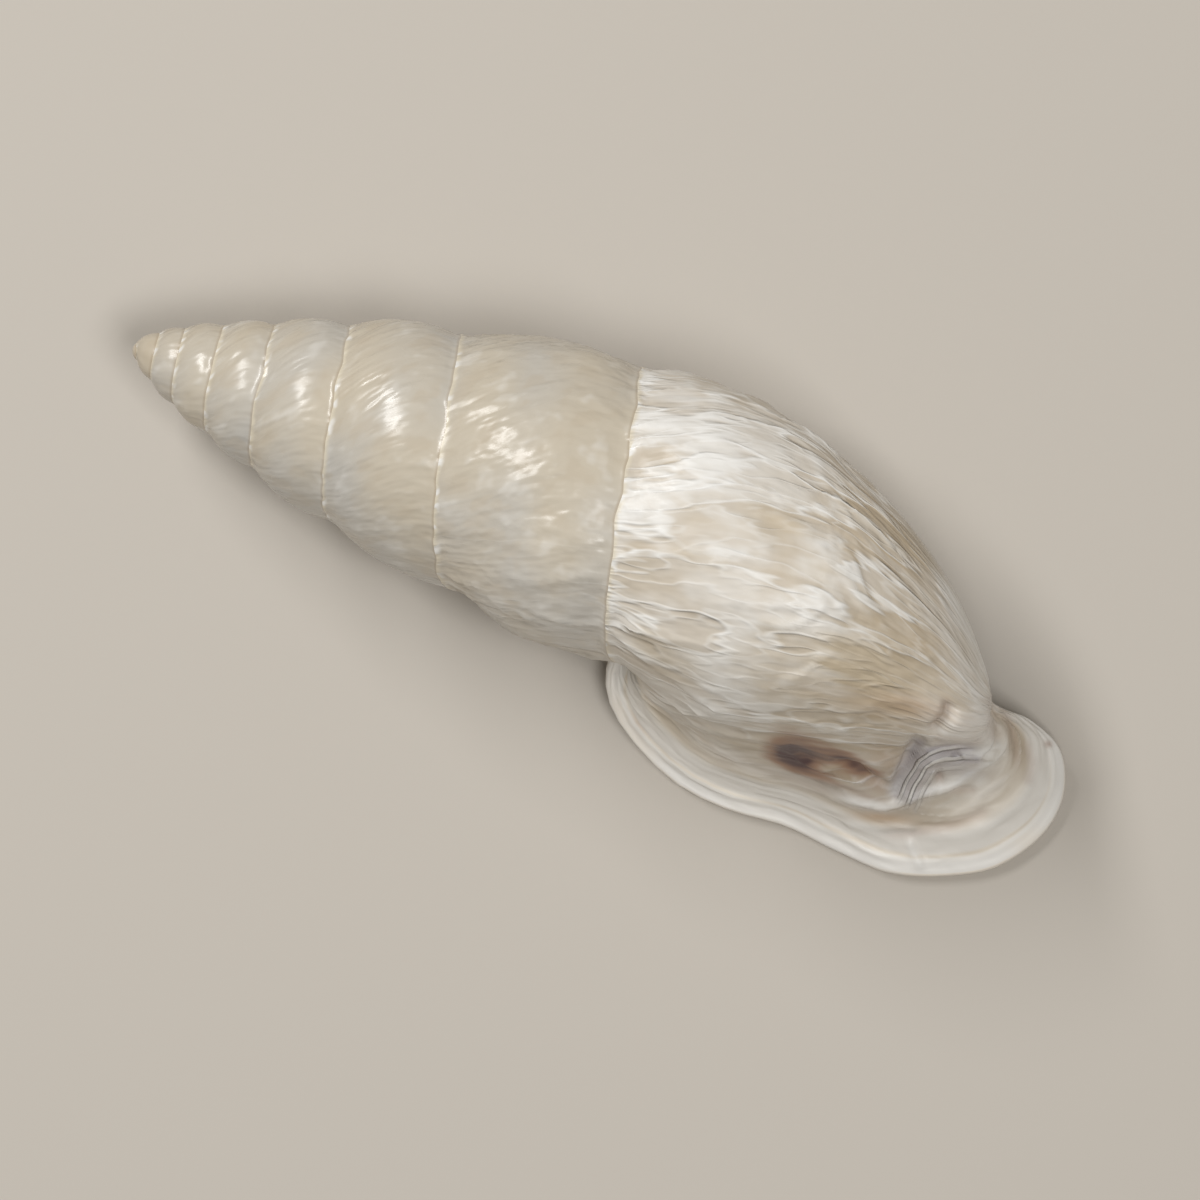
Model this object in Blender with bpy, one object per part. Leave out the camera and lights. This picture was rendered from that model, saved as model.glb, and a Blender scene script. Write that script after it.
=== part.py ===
"""A land snail shell, empty, lying with its mouth down.

The shell grew as one piece, so it is one closed solid. Its skin is a sheet wound round the
axis the way the animal laid it down: one way of the sheet counts the turns, and the other runs
across a whorl, from the suture above it (0) to the suture below it (1), and on the last whorl
on over the base to the foot of the pillar (2). At the mouth the sheet flares into the lip, is
rounded over at the rim, and runs back inside as the wall of the hollow.

Lengths are in millimetres until the mesh is written. X runs from the apex to the base, Y away
from the lip's side, and Z up from the table.
"""

import math

import bmesh
import bpy
import numpy as np

MM = 0.001

# Driving dimensions
TURNS = 8.625  # from the middle of the apex to the end of the suture
FLARE_TURNS = 0.1875  # the last part of the growth, over which the wall swings out
HOLLOW_TURNS = 0.75  # how far the hollow is followed inwards
AXIS_TILT = math.radians(6.3)  # the base end of the axis lies higher than the apex
APEX_HEIGHT = 7.12
SPIRE_OFFSET, STRAIGHT_FROM = 0.34, 37.5  # the spire bends a little aside, above this distance
SUTURE_LEAN = 0.033  # the whorls lean against the axis
WALL = 0.75
LIP_THICKNESS = 1.5
CORNER_THICKNESS = 0.35  # of the lip's thickness, left where the lip meets the whorl before
BULGE = 0.08  # how far a whorl stands out between its sutures, over its width
APEX_BULGE = 0.9  # how much rounder the first whorl is
WALL_FALL = 0.0625  # how long the wall falls straight before it turns out, in turns
BASE_LEAD = 0.36  # how far the base carries on the line of the whorl, over the whorl's width

# Mesh fineness
STEPS = 32  # to a turn
ACROSS = 5  # from suture to suture
BASE_ACROSS = 12  # from the lower suture to the foot of the pillar
EDGE_STEPS = 3
LIP_STEPS = 5
HOLLOW_STEPS = 20
WELD = 1e-6
SMOOTH_ANGLE = math.radians(40)

# The suture: turn, distance down the axis, distance from the axis
SUTURE = np.array([
    (1.0, -0.2, 0.0), (1.5, 0.4, 0.9), (2.0, 1.3, 1.6), (2.5, 2.0, 2.0), (3.0, 3.0, 2.5),
    (3.5, 4.2, 3.1), (4.0, 5.7, 3.6), (4.5, 7.3, 4.3), (5.0, 9.3, 4.85), (5.5, 11.6, 5.7),
    (6.0, 14.6, 6.55), (6.5, 18.3, 7.6), (7.0, 22.6, 8.5), (7.5, 28.5, 9.6), (8.0, 36.1, 10.5),
    (8.5, 42.1, 11.0), (8.625, 42.7, 10.9), (9.0, 51.7, 9.3), (9.5, 58.1, 11.8), (9.75, 61.0, 13.0),
])
# Over the base, a growth line is drawn towards this point: turn, X, Y, Z. Inside the mouth the
# same points shape the pillar.
BASE_PULL = np.array([
    (6.50, 58.0, -1.5, 14.0), (6.75, 58.5, 0.5, 11.5), (7.00, 59.0, 1.5, 13.5), (7.25, 59.5, -0.5, 15.0),
    (7.50, 60.5, -3.0, 10.0), (7.75, 62.3, -0.4, 5.9), (8.00, 65.1, 3.0, 10.8), (8.25, 72.0, -4.5, 16.8),
    (8.50, 73.1, -9.0, 13.8), (8.75, 72.0, -9.8, 8.5),
])
PILLAR_FOOT = np.array([67.1, -3.4, 7.8])
# The lip from the end of the suture round to the pillar's foot: across, the gutter behind the
# lip (X, Y, Z), the rim (X, Y, Z)
LIP = np.array([
    (0.12, 43.2, -10.9, 4.9, 41.6, -9.6, 4.2),
    (0.25, 44.4, -12.3, 4.0, 41.3, -12.2, 3.6),
    (0.38, 46.4, -13.6, 3.7, 42.5, -14.5, 2.8),
    (0.50, 48.4, -14.4, 3.3, 44.8, -16.3, 2.1),
    (0.62, 51.0, -15.1, 2.8, 48.2, -18.0, 1.6),
    (0.78, 54.5, -15.1, 2.5, 53.0, -18.8, 1.4),
    (0.92, 57.8, -14.9, 2.3, 57.4, -18.6, 1.4),
    (1.05, 61.0, -14.8, 2.3, 61.8, -19.2, 1.4),
    (1.18, 63.6, -14.0, 2.4, 65.8, -19.5, 1.4),
    (1.31, 65.3, -11.9, 3.0, 69.8, -18.5, 1.4),
    (1.44, 66.8, -10.0, 3.7, 73.5, -16.5, 1.4),
    (1.56, 68.6, -8.8, 4.2, 76.0, -13.0, 1.4),
    (1.67, 69.6, -7.7, 4.8, 76.4, -9.6, 1.5),
    (1.77, 69.6, -6.6, 5.5, 75.1, -6.8, 1.9),
    (1.86, 69.2, -5.4, 6.2, 72.6, -5.5, 2.9),
    (1.94, 68.3, -4.3, 7.1, 70.0, -4.7, 5.0),
])
FLARE_START = TURNS - FLARE_TURNS
RIM_ROW = TURNS + FLARE_TURNS  # rows go on past the turns, over the lip


def ease(x):
    """0 to 1 with a flat start and end."""
    x = np.clip(x, 0.0, 1.0)
    return x * x * (3.0 - 2.0 * x)


def through(knots, values, at):
    """A smooth curve that passes through the values at the knots."""
    at = np.clip(at, knots[0], knots[-1])
    step = np.diff(knots)[:, None]
    rise = np.diff(values, axis=0) / step
    slope = np.empty_like(values)
    slope[1:-1] = (rise[:-1] * step[1:] + rise[1:] * step[:-1]) / (step[:-1] + step[1:])
    slope[0] = 1.5 * rise[0] - 0.5 * slope[1]
    slope[-1] = 1.5 * rise[-1] - 0.5 * slope[-2]
    i = np.clip(np.searchsorted(knots, at, side="right") - 1, 0, len(knots) - 2)
    u = ((at - knots[i]) / (knots[i + 1] - knots[i]))[..., None]
    start = (1.0 + 2.0 * u) * values[i] + u * step[i] * slope[i]
    end = (3.0 - 2.0 * u) * values[i + 1] + (u - 1.0) * step[i] * slope[i + 1]
    return (1.0 - u) ** 2 * start + u**2 * end


def bow(f, first, second, third, last):
    """A cubic Bezier curve."""
    f = f[..., None]
    g = 1.0 - f
    return g**3 * first + 3.0 * f * g**2 * second + 3.0 * f**2 * g * third + f**3 * last


def suture(turn):
    """The distances down the axis and from it."""
    at = through(SUTURE[:, 0], SUTURE[:, 1:], turn)
    return at[..., 0], np.maximum(at[..., 1], 0.0)


def place(down, out, turn):
    """A point of the half-plane at this turn, in the frame of the resting shell."""
    beside, above = np.cos(2.0 * math.pi * turn), np.sin(2.0 * math.pi * turn)
    down = down + SUTURE_LEAN * out * beside
    side = SPIRE_OFFSET * np.clip(1.0 - down / STRAIGHT_FROM, 0.0, 1.0) + out * beside
    x = down * math.cos(AXIS_TILT) - out * above * math.sin(AXIS_TILT)
    z = down * math.sin(AXIS_TILT) + out * above * math.cos(AXIS_TILT)
    return np.stack([x, side, z + APEX_HEIGHT], axis=-1)


def suture_point(turn):
    return place(*suture(turn), turn)


def whorl(turn, across):
    """The skin between two sutures."""
    down, out = suture(turn)
    lower_down, lower_out = suture(turn + 1.0)
    wide, deep = lower_down - down, lower_out - out
    rounder = 1.0 + APEX_BULGE * (1.0 - ease((turn - 0.2) / 1.5))
    bulge = BULGE * rounder * 4.0 * across * (1.0 - across)
    return place(down + across * wide - bulge * deep, out + across * deep + bulge * wide, turn)


def regular(turn, across):
    """The skin before the flare, with the base under the last whorl."""
    edge = whorl(turn, 1.0)
    lead = (edge - whorl(turn, 0.99)) / 0.01 * BASE_LEAD
    pull = through(BASE_PULL[:, 0], BASE_PULL[:, 1:], turn)
    base = bow(np.clip(across - 1.0, 0.0, 1.0), edge, edge + lead, pull, PILLAR_FOOT)
    return np.where(across[..., None] > 1.0, base, whorl(turn, np.minimum(across, 1.0)))


def lip_line(first, start_turn, across):
    """The gutter (first column 1) or the rim (first column 4)."""
    knots = np.concatenate([[0.0], LIP[:, 0], [2.0]])
    start = suture_point(np.array(start_turn))
    return through(knots, np.vstack([start, LIP[:, first:first + 3], PILLAR_FOOT]), across)


def flare(row, across):
    """The skin from the last regular growth line to the rim. It falls down the wall and is drawn
    out over the gutter. Beside the suture it follows the suture, and stops where that ends."""
    turn = np.clip(row, FLARE_START, TURNS)
    slow = (row - FLARE_START) / (RIM_ROW - FLARE_START)
    quick = (turn - FLARE_START) / FLARE_TURNS
    along = slow + (quick - slow) * (1.0 - ease(across / 0.4))

    def swing(across):
        first = regular(np.full_like(across, FLARE_START), across)
        before = regular(np.full_like(across, FLARE_START - 0.01), across)
        fall = (first - before) / 0.01 * WALL_FALL
        gutter = lip_line(1, TURNS - FLARE_TURNS / 3.0, across)
        return bow(along, first, first + fall, gutter, lip_line(4, TURNS, across))

    slip = suture_point(turn) - swing(np.zeros_like(across))
    return swing(across) + slip * (1.0 - ease(across / 0.3))[..., None]


def skin(row, across):
    """The whole outer skin."""
    row, across = np.broadcast_arrays(np.asarray(row, float), np.asarray(across, float))
    flared = flare(np.maximum(row, FLARE_START), across)
    return np.where((row > FLARE_START)[..., None], flared, regular(row, across))


def outward(row, across):
    """The direction out of the skin."""
    d = 1e-3
    row = np.clip(row, 0.0, RIM_ROW - d)
    across = np.clip(across, 0.03, 1.97)
    along = skin(row + d, across) - skin(row - d, across)
    down = skin(row, across + d) - skin(row, across - d)
    out = np.cross(along, down)
    return out / np.linalg.norm(out, axis=-1, keepdims=True)


def inner_face(row, across):
    """The inner side of the wall and of the lip, flat where it would reach under the table."""
    lip = ease((row - FLARE_START) / FLARE_TURNS)
    ends = ease(across / 0.35) * ease((2.0 - across) / 0.25)
    edge = LIP_THICKNESS * (CORNER_THICKNESS + (1.0 - CORNER_THICKNESS) * ends)
    thickness = WALL + (edge - WALL) * lip
    at = skin(row, across) - outward(row, across) * thickness[..., None]
    at[..., 2] = np.maximum(at[..., 2], 0.0)
    return at


def rows_across():
    upper = np.linspace(0.0, 1.0, ACROSS + 1)
    return upper, np.concatenate([upper, np.linspace(1.0, 2.0, BASE_ACROSS + 1)[1:]])


def outer_sheets():
    """The spire, and the last whorl with its base and the flare."""
    upper, full = rows_across()
    early = np.arange(round((TURNS - 1.0) * STEPS) + 1) / STEPS
    late = early[-1] + np.arange(STEPS + 1) / STEPS
    lip = np.linspace(TURNS, RIM_ROW, LIP_STEPS + 1)[1:]
    last = np.concatenate([late, lip])
    return [skin(early[:, None], upper[None, :]), skin(last[:, None], full[None, :])]


def lip_face(part, across, under, throat):
    """A line on the lip's inner face, from its edge (part 0) to the throat (part 1). Near its two
    ends it runs straight from the one to the other."""
    clear = float(ease(part))
    ends = ease(across / 0.15) * ease((2.0 - across) / 0.15)
    ends = 1.0 - (1.0 - ends) * (1.0 - ease(clear / 0.3))
    row = np.full_like(across, RIM_ROW - FLARE_TURNS * part)
    kept = across + (inside(across) - across) * clear
    line = skin(row, kept)
    line = line + (inner_face(row, kept) - line) * ends[:, None]
    straight = under + (throat - under) * part
    return line + (straight - line) * (1.0 - ease(across / 0.4))[:, None]


def inside(across):
    """The stretch of the wall that the hollow keeps clear of the suture and the pillar's foot."""
    return 0.3 + 0.8 * across


def hollow_rings():
    """Rings over the rim and down the hollow. Each runs along the outer wall, and back over the
    whorl before it and the pillar."""
    across = rows_across()[1]
    back = np.linspace(2.0, 1.0, BASE_ACROSS + 1)[1:-1]
    row = np.full_like(across, RIM_ROW)
    rim = skin(row, across)
    ends = (ease(across / 0.15) * ease((2.0 - across) / 0.15))[:, None]
    under = rim + (inner_face(row, across) - rim) * ends
    outwards = rim - skin(row - 1e-3, across)
    outwards /= np.maximum(np.linalg.norm(outwards, axis=-1, keepdims=True), 1e-9)
    proud = outwards * np.linalg.norm(under - rim, axis=-1, keepdims=True) / 4.0
    throat = inner_face(np.full_like(across, TURNS), inside(across))

    rings = []

    def add(front, clear, before):
        kept = back + clear * (0.15 - 0.25 * (back - 1.0))
        rings.append(np.vstack([front, regular(np.full_like(back, TURNS - 1.0 - before), kept)]))

    lag = 0.05 / (EDGE_STEPS + LIP_STEPS)
    for step in range(EDGE_STEPS + 1):
        turned = math.pi * step / EDGE_STEPS
        front = (rim + under) / 2.0 + (rim - under) / 2.0 * math.cos(turned) + proud * math.sin(turned)
        add(front, 0.0, lag * step)
    for step in range(1, LIP_STEPS + 1):
        part = step / LIP_STEPS
        add(lip_face(part, across, under, throat), float(ease(part)), lag * (EDGE_STEPS + step))
    for step in range(1, HOLLOW_STEPS + 1):
        deep = HOLLOW_TURNS * step / HOLLOW_STEPS
        front = inner_face(np.full_like(across, TURNS - deep), inside(across))
        add(front, 1.0, lag * (EDGE_STEPS + LIP_STEPS) + deep)
    return np.array(rings)


def closed_end(ring):
    """The rounded end of the hollow, from its last ring to one point."""
    middle = ring.mean(axis=0)
    return np.array([ring, (ring + middle) / 2.0, np.broadcast_to(middle, ring.shape)])


def add_sheet(bm, points):
    """A grid, moved to the points."""
    rows, columns = points.shape[:2]
    grid = bmesh.ops.create_grid(bm, x_segments=columns - 1, y_segments=rows - 1)
    for vert, point in zip(grid["verts"], points.reshape(-1, 3)):
        vert.co = point * MM


def shell_material():
    material = bpy.data.materials.new("chalky shell")
    material.use_nodes = True
    finish = material.node_tree.nodes["Principled BSDF"]
    finish.inputs["Base Color"].default_value = (0.62, 0.56, 0.46, 1.0)
    finish.inputs["Roughness"].default_value = 0.35
    finish.inputs["Metallic"].default_value = 0.0
    return material


def make_shell(collection):
    """The sheets welded into one closed body, its outline centred on the origin."""
    rings = hollow_rings()
    bm = bmesh.new()
    for sheet in outer_sheets():
        add_sheet(bm, sheet)
    for sheet in (rings, closed_end(rings[-1])):
        add_sheet(bm, np.concatenate([sheet, sheet[:, :1]], axis=1))
    bmesh.ops.remove_doubles(bm, verts=bm.verts, dist=WELD)
    bmesh.ops.dissolve_degenerate(bm, edges=bm.edges, dist=WELD)
    bmesh.ops.recalc_face_normals(bm, faces=bm.faces)
    mesh = bpy.data.meshes.new("shell")
    bm.to_mesh(mesh)
    bm.free()
    mesh.shade_smooth()
    mesh.set_sharp_from_angle(angle=SMOOTH_ANGLE)
    mesh.materials.append(shell_material())

    shell = bpy.data.objects.new("shell", mesh)
    corners = np.array([vert.co[:] for vert in mesh.vertices])
    middle = (corners.min(axis=0) + corners.max(axis=0)) / 2.0
    shell.location = (-middle[0], -middle[1], -corners[:, 2].min())
    collection.objects.link(shell)


for old in list(bpy.data.objects):
    bpy.data.objects.remove(old)
snail_shell = bpy.data.collections.new("land snail shell")
bpy.context.scene.collection.children.link(snail_shell)
make_shell(snail_shell)
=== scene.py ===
# %% [markdown]
# # A land snail shell
#
# The shell is one piece: a tube that its animal laid down round an axis, wider with every turn.
# It lies on a table with its mouth down, seen from straight above. This lesson lays the same
# sheet as the solid model, much finer, and adds what a hand feels on it: growth lines, dents,
# the raised thread of the suture, the folds behind the lip and the thick rim.

import math

import bpy
import numpy as np
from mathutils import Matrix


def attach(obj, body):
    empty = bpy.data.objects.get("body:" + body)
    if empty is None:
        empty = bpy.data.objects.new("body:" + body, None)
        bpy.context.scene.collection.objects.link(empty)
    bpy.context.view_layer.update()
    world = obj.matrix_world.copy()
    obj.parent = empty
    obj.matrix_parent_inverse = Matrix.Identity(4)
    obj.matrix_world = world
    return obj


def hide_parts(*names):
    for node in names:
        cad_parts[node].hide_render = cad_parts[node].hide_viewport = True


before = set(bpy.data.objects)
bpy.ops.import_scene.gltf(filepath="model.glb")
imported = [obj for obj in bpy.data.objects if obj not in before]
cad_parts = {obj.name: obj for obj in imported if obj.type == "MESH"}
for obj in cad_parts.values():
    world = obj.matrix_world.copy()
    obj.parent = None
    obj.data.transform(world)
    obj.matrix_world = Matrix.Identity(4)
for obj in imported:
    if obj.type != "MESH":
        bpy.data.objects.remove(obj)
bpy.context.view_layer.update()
bpy.ops.object.select_all(action="DESELECT")
MM = 0.001
print("nodes:", sorted(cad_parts))

# %% [markdown]
# ## The suture
#
# On the real shell each whorl is glued to the one before along the suture. A spiral could be
# drawn with a Screw modifier or by Spin, but both keep one pitch, and this shell's turns grow,
# lean and bend. So the suture is a table of turn, distance down the axis and distance from it,
# and a smooth curve runs through the rows.

# %% Turns and suture
TURNS = 8.625
FLARE_TURNS = 0.1875
HOLLOW_TURNS = 0.75
AXIS_TILT = math.radians(6.3)
APEX_HEIGHT = 7.12
SPIRE_OFFSET, STRAIGHT_FROM = 0.34, 37.5
SUTURE_LEAN = 0.033
FLARE_START = TURNS - FLARE_TURNS
RIM_ROW = TURNS + FLARE_TURNS
SUTURE = np.array([
    # turn, distance down the axis and from it in millimetres
    (1.0, -0.2, 0.0), (1.5, 0.4, 0.9), (2.0, 1.3, 1.6), (2.5, 2.0, 2.0), (3.0, 3.0, 2.5),
    (3.5, 4.2, 3.1), (4.0, 5.7, 3.6), (4.5, 7.3, 4.3), (5.0, 9.3, 4.85), (5.5, 11.6, 5.7),
    (6.0, 14.6, 6.55), (6.5, 18.3, 7.6), (7.0, 22.6, 8.5), (7.5, 28.5, 9.6), (8.0, 36.1, 10.5),
    (8.5, 42.1, 11.0), (8.625, 42.7, 10.9), (9.0, 51.7, 9.3), (9.5, 58.1, 11.8), (9.75, 61.0, 13.0),
])


def ease(x):
    """0 to 1 with a flat start and end."""
    x = np.clip(x, 0.0, 1.0)
    return x * x * (3.0 - 2.0 * x)


def through(knots, values, at):
    """A smooth curve that passes through the values at the knots."""
    at = np.clip(at, knots[0], knots[-1])
    step = np.diff(knots)[:, None]
    rise = np.diff(values, axis=0) / step
    slope = np.empty_like(values)
    slope[1:-1] = (rise[:-1] * step[1:] + rise[1:] * step[:-1]) / (step[:-1] + step[1:])
    slope[0] = 1.5 * rise[0] - 0.5 * slope[1]
    slope[-1] = 1.5 * rise[-1] - 0.5 * slope[-2]
    i = np.clip(np.searchsorted(knots, at, side="right") - 1, 0, len(knots) - 2)
    u = ((at - knots[i]) / (knots[i + 1] - knots[i]))[..., None]
    start = (1.0 + 2.0 * u) * values[i] + u * step[i] * slope[i]
    end = (3.0 - 2.0 * u) * values[i + 1] + (u - 1.0) * step[i] * slope[i + 1]
    return (1.0 - u) ** 2 * start + u**2 * end


def suture(turn):
    """The distances down the axis and from it."""
    at = through(SUTURE[:, 0], SUTURE[:, 1:], turn)
    return at[..., 0], np.maximum(at[..., 1], 0.0)


def place(down, out, turn):
    """A point of the half-plane at this turn, with the shell at rest on the table."""
    beside, above = np.cos(2.0 * math.pi * turn), np.sin(2.0 * math.pi * turn)
    down = down + SUTURE_LEAN * out * beside
    side = SPIRE_OFFSET * np.clip(1.0 - down / STRAIGHT_FROM, 0.0, 1.0) + out * beside
    x = down * math.cos(AXIS_TILT) - out * above * math.sin(AXIS_TILT)
    z = down * math.sin(AXIS_TILT) + out * above * math.cos(AXIS_TILT)
    return np.stack([x, side, z + APEX_HEIGHT], axis=-1)


def suture_point(turn):
    return place(*suture(turn), turn)


print("the suture ends", round(suture(np.array(TURNS))[0].item(), 1), "mm down the axis")

# %% [markdown]
# ## The whorls and the base
#
# Between two rounds of the suture the wall bulges like a barrel. Below the last round it runs on
# over the base and is drawn in to the foot of the pillar, the post in the middle of the mouth.
# A subdivided cage could give the bulge, but not the even growth, so every point of the wall
# has two numbers: its turn, and how far across the whorl it lies, from the suture above (0) to
# the suture below (1) and on to the pillar's foot (2).

# %% Whorls and base
BULGE, APEX_BULGE = 0.08, 0.9
BASE_LEAD = 0.36
BASE_PULL = np.array([
    # turn, then the point that pulls the base outwards
    (6.50, 58.0, -1.5, 14.0), (6.75, 58.5, 0.5, 11.5), (7.00, 59.0, 1.5, 13.5),
    (7.25, 59.5, -0.5, 15.0), (7.50, 60.5, -3.0, 10.0), (7.75, 62.3, -0.4, 5.9),
    (8.00, 65.1, 3.0, 10.8), (8.25, 72.0, -4.5, 16.8), (8.50, 73.1, -9.0, 13.8),
    (8.75, 72.0, -9.8, 8.5),
])
PILLAR_FOOT = np.array([67.1, -3.4, 7.8])


def bow(f, first, second, third, last):
    """A cubic Bezier curve."""
    f = f[..., None]
    g = 1.0 - f
    return g**3 * first + 3.0 * f * g**2 * second + 3.0 * f**2 * g * third + f**3 * last


def whorl(turn, across):
    """The wall between two rounds of the suture."""
    down, out = suture(turn)
    lower_down, lower_out = suture(turn + 1.0)
    wide, deep = lower_down - down, lower_out - out
    rounder = 1.0 + APEX_BULGE * (1.0 - ease((turn - 0.2) / 1.5))
    bulge = BULGE * rounder * 4.0 * across * (1.0 - across)
    return place(down + across * wide - bulge * deep, out + across * deep + bulge * wide, turn)


def regular(turn, across):
    """The wall before the lip, with the base under the last whorl."""
    edge = whorl(turn, 1.0)
    lead = (edge - whorl(turn, 0.99)) / 0.01 * BASE_LEAD
    pull = through(BASE_PULL[:, 0], BASE_PULL[:, 1:], turn)
    base = bow(np.clip(across - 1.0, 0.0, 1.0), edge, edge + lead, pull, PILLAR_FOOT)
    return np.where(across[..., None] > 1.0, base, whorl(turn, np.minimum(across, 1.0)))


print("all growth lines of the base run to the pillar's foot at", PILLAR_FOOT)

# %% [markdown]
# ## The flared lip
#
# When the animal was grown it turned the edge of the mouth outwards. The wall falls towards the
# table, turns up in a gutter and swings out to a broad lip like an ear. The gutter and the rim
# are two more curves, and each growth line near the mouth is drawn from the wall over the
# gutter to the rim. A lattice could push the last rows outwards, but it would move them alike.

# %% Flare
WALL_FALL = 0.0625
LIP = np.array([
    # across, then a point of the gutter and a point of the rim
    (0.12, 43.2, -10.9, 4.9, 41.6, -9.6, 4.2),
    (0.25, 44.4, -12.3, 4.0, 41.3, -12.2, 3.6),
    (0.38, 46.4, -13.6, 3.7, 42.5, -14.5, 2.8),
    (0.50, 48.4, -14.4, 3.3, 44.8, -16.3, 2.1),
    (0.62, 51.0, -15.1, 2.8, 48.2, -18.0, 1.6),
    (0.78, 54.5, -15.1, 2.5, 53.0, -18.8, 1.4),
    (0.92, 57.8, -14.9, 2.3, 57.4, -18.6, 1.4),
    (1.05, 61.0, -14.8, 2.3, 61.8, -19.2, 1.4),
    (1.18, 63.6, -14.0, 2.4, 65.8, -19.5, 1.4),
    (1.31, 65.3, -11.9, 3.0, 69.8, -18.5, 1.4),
    (1.44, 66.8, -10.0, 3.7, 73.5, -16.5, 1.4),
    (1.56, 68.6, -8.8, 4.2, 76.0, -13.0, 1.4),
    (1.67, 69.6, -7.7, 4.8, 76.4, -9.6, 1.5),
    (1.77, 69.6, -6.6, 5.5, 75.1, -6.8, 1.9),
    (1.86, 69.2, -5.4, 6.2, 72.6, -5.5, 2.9),
    (1.94, 68.3, -4.3, 7.1, 70.0, -4.7, 5.0),
])


def lip_line(first, start_turn, across):
    """The gutter (first column 1) or the rim (first column 4)."""
    knots = np.concatenate([[0.0], LIP[:, 0], [2.0]])
    start = suture_point(np.array(start_turn))
    return through(knots, np.vstack([start, LIP[:, first:first + 3], PILLAR_FOOT]), across)


def flare(row, across):
    """The wall from the last regular growth line to the rim."""
    turn = np.clip(row, FLARE_START, TURNS)
    slow = (row - FLARE_START) / (RIM_ROW - FLARE_START)
    quick = (turn - FLARE_START) / FLARE_TURNS
    along = slow + (quick - slow) * (1.0 - ease(across / 0.4))

    def swing(across):
        first = regular(np.full_like(across, FLARE_START), across)
        before = regular(np.full_like(across, FLARE_START - 0.01), across)
        fall = (first - before) / 0.01 * WALL_FALL
        gutter = lip_line(1, TURNS - FLARE_TURNS / 3.0, across)
        return bow(along, first, first + fall, gutter, lip_line(4, TURNS, across))

    slip = suture_point(turn) - swing(np.zeros_like(across))
    return swing(across) + slip * (1.0 - ease(across / 0.3))[..., None]


def skin(row, across):
    """The whole outer wall, smooth."""
    row, across = np.broadcast_arrays(np.asarray(row, float), np.asarray(across, float))
    on_lip = row > FLARE_START
    at = np.empty(row.shape + (3,))
    at[~on_lip] = regular(row[~on_lip], across[~on_lip])
    at[on_lip] = flare(row[on_lip], across[on_lip])
    return at


def outward(row, across):
    """The direction out of the wall."""
    d = 1e-3
    row = np.clip(row, 0.0, RIM_ROW - d)
    across = np.clip(across, 0.03, 1.97)
    along = skin(row + d, across) - skin(row - d, across)
    down = skin(row, across + d) - skin(row, across - d)
    out = np.cross(along, down)
    return out / np.maximum(np.linalg.norm(out, axis=-1, keepdims=True), 1e-12)


rim_start, rim_end = lip_line(4, TURNS, np.array([0.0, 2.0])).round(1)
print("rim from", rim_start, "to", rim_end)

# %% [markdown]
# ## A ruler along the growth
#
# Wrinkles, dents and streaks follow the growth lines, so their patterns need millimetres: how
# much wall was laid down before this growth line, and how far across the whorl a point lies.
# The growth lines lean, as on the real spire, so towards the suture below the ruler is read a
# little further on. A UV unwrap would tear such a sheet and knows nothing of its growth.

# %% Growth ruler
BASE_SPAN = 24.0
TICKS = np.linspace(0.0, RIM_ROW, 2000)
RADIUS = (suture(TICKS)[1] + suture(TICKS + 1.0)[1]) / 2.0
LIP_PACE = 26.0  # millimetres of wall to a turn, once the wall swings out into the lip
FAR_FROM_RIM = 15.0
GROWTH_LEAN = np.array([
    # turn, and how far the growth line runs ahead at the suture below, in turns
    (1.0, 0.0), (3.0, 0.09), (6.5, 0.11), (7.3, 0.09), (7.8, 0.07), (8.2, 0.05), (8.44, 0.0),
])
PACE = 2.0 * math.pi * RADIUS
PACE += (LIP_PACE - PACE) * ease((TICKS - 8.36) / 0.12)
LAID = np.concatenate([[0.0], np.cumsum((PACE[1:] + PACE[:-1]) / 2.0 * np.diff(TICKS))])


def laid(turn):
    """Millimetres of wall laid down before this turn, at the middle of the whorl."""
    return np.interp(turn, TICKS, LAID)


def growth_line(row, across):
    """The turn of the growth line through this point."""
    lean = np.interp(row, GROWTH_LEAN[:, 0], GROWTH_LEAN[:, 1])
    return row + lean * np.sin(math.pi / 2.0 * across)


def span(row):
    """Millimetres from the suture above to the suture below."""
    down, out = suture(row)
    lower_down, lower_out = suture(row + 1.0)
    return np.hypot(lower_down - down, lower_out - out)


def width(row, across):
    """Millimetres across the whorl, from the suture above."""
    return span(row) * np.minimum(across, 1.0) + BASE_SPAN * np.clip(across - 1.0, 0.0, 1.0)


def to_rim(row, across):
    """Millimetres to the rim of the lip, up to FAR_FROM_RIM."""
    away = np.full(row.shape, FAR_FROM_RIM)
    near = row > FLARE_START - 0.1
    rim = skin(np.full_like(row[near], RIM_ROW), across[near])
    straight = np.linalg.norm(skin(row[near], across[near]) - rim, axis=-1)
    away[near] = np.minimum(straight, FAR_FROM_RIM)
    return away


print("wall laid down:", round(LAID[-1]), "mm")

# %% [markdown]
# ## Wrinkles and dents
#
# The last whorl is wrinkled along the growth lines and dented all over, as if hammered, and the
# early whorls are almost smooth. A Displace modifier with a texture could do it, but its
# textures don't know the growth lines, so smooth random waves are laid over the two rulers.

# %% Growth relief
ROUGH_FROM, ROUGH_OVER = 6.4, 1.3  # turns: the wall grows rough from here, over this stretch
EARLY_SHARE = 0.07  # of the relief, on the first whorls
WRINKLE, FINE_LINE, DENT, FINE_DENT, SUNK = 0.36, 0.20, 0.27, 0.08, 0.20  # millimetres
GATHER, EARLY_DENT = 0.14, 0.05


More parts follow.
